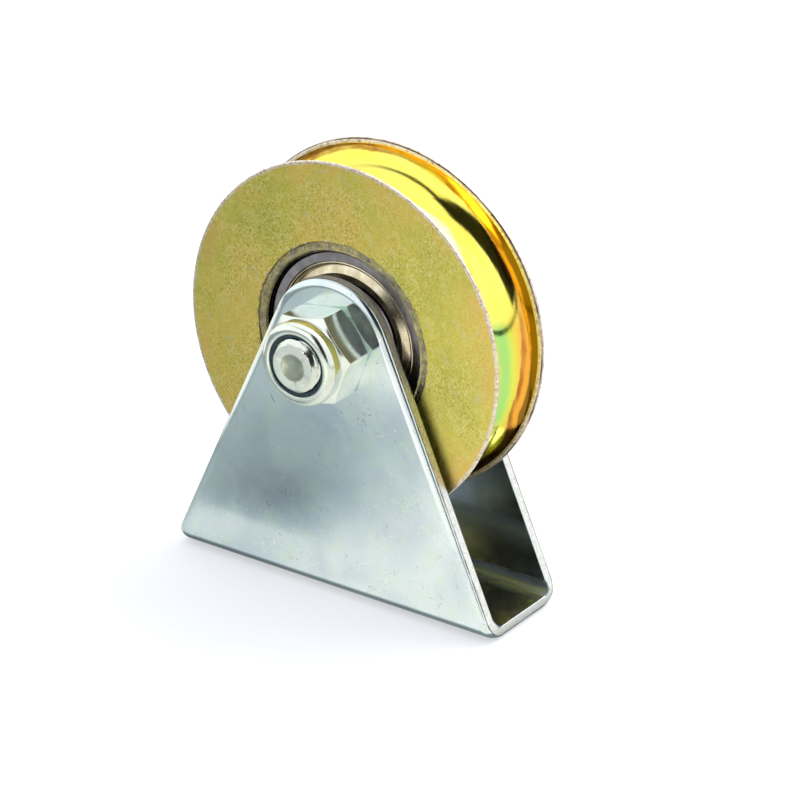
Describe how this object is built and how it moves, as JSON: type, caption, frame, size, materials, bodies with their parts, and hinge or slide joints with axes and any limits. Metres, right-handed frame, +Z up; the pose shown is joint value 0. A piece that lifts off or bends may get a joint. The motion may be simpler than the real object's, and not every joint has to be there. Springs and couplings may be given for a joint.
{
  "type": "gate wheel",
  "caption": "U-grooved steel gate wheel on a shielded ball bearing, bolted between the triangular cheeks of a bent sheet-steel bracket with a flat base.",
  "frame": {"origin": "centre of the underside of the bracket's flat web", "axes": "+Z up from the web to the wheel, +X along the web and the rolling direction, +Y along the axle towards the bolt head; the nut is on -Y"},
  "size_m": [0.084, 0.0475, 0.099],
  "materials": {
    "clear_zinc": "blue-white zinc plate, satin, on blanked and bent sheet",
    "bolt_zinc": "bright zinc plate on forged and turned fasteners",
    "nylon": "dark moulded nylon",
    "turned_steel": "turned steel, oiled",
    "bearing_steel": "ground bearing steel",
    "shield_steel": "pressed steel sheet, bright",
    "cage_steel": "pressed steel strip",
    "ball_steel": "polished bearing balls",
    "yellow_zinc": "yellow-chromated zinc plate, satin faces and a bright groove"
  },
  "bodies": {
    "bracket": {"bracket": "clear_zinc", "axle_bolt": "bolt_zinc", "lock_nut": "bolt_zinc", "nylon_insert": "nylon", "spacer_near": "turned_steel", "spacer_far": "turned_steel", "bearing_inner_ring": "bearing_steel"},
    "wheel": {"wheel_rim": "yellow_zinc", "bearing_outer_ring": "bearing_steel", "shield_near": "shield_steel", "shield_far": "shield_steel"},
    "cage": {"cage_near_half": "cage_steel", "cage_far_half": "cage_steel", "cage_rivets": "cage_steel", "bearing_ball_1": "ball_steel", "bearing_ball_2": "ball_steel", "bearing_ball_3": "ball_steel", "bearing_ball_4": "ball_steel", "bearing_ball_5": "ball_steel", "bearing_ball_6": "ball_steel", "bearing_ball_7": "ball_steel", "bearing_ball_8": "ball_steel"}
  },
  "joints": [
    {"name": "wheel_spin", "type": "hinge", "parent": "bracket", "child": "wheel", "pos_m": [0, 0, 0.059], "axis": [0, 1, 0], "continuous": true},
    {"name": "cage_orbit", "type": "hinge", "parent": "bracket", "child": "cage", "pos_m": [0, 0, 0.059], "axis": [0, 1, 0], "continuous": true}
  ],
  "couplings": [
    {"joint": "cage_orbit", "follows": "wheel_spin", "ratio": 0.6184}
  ]
}
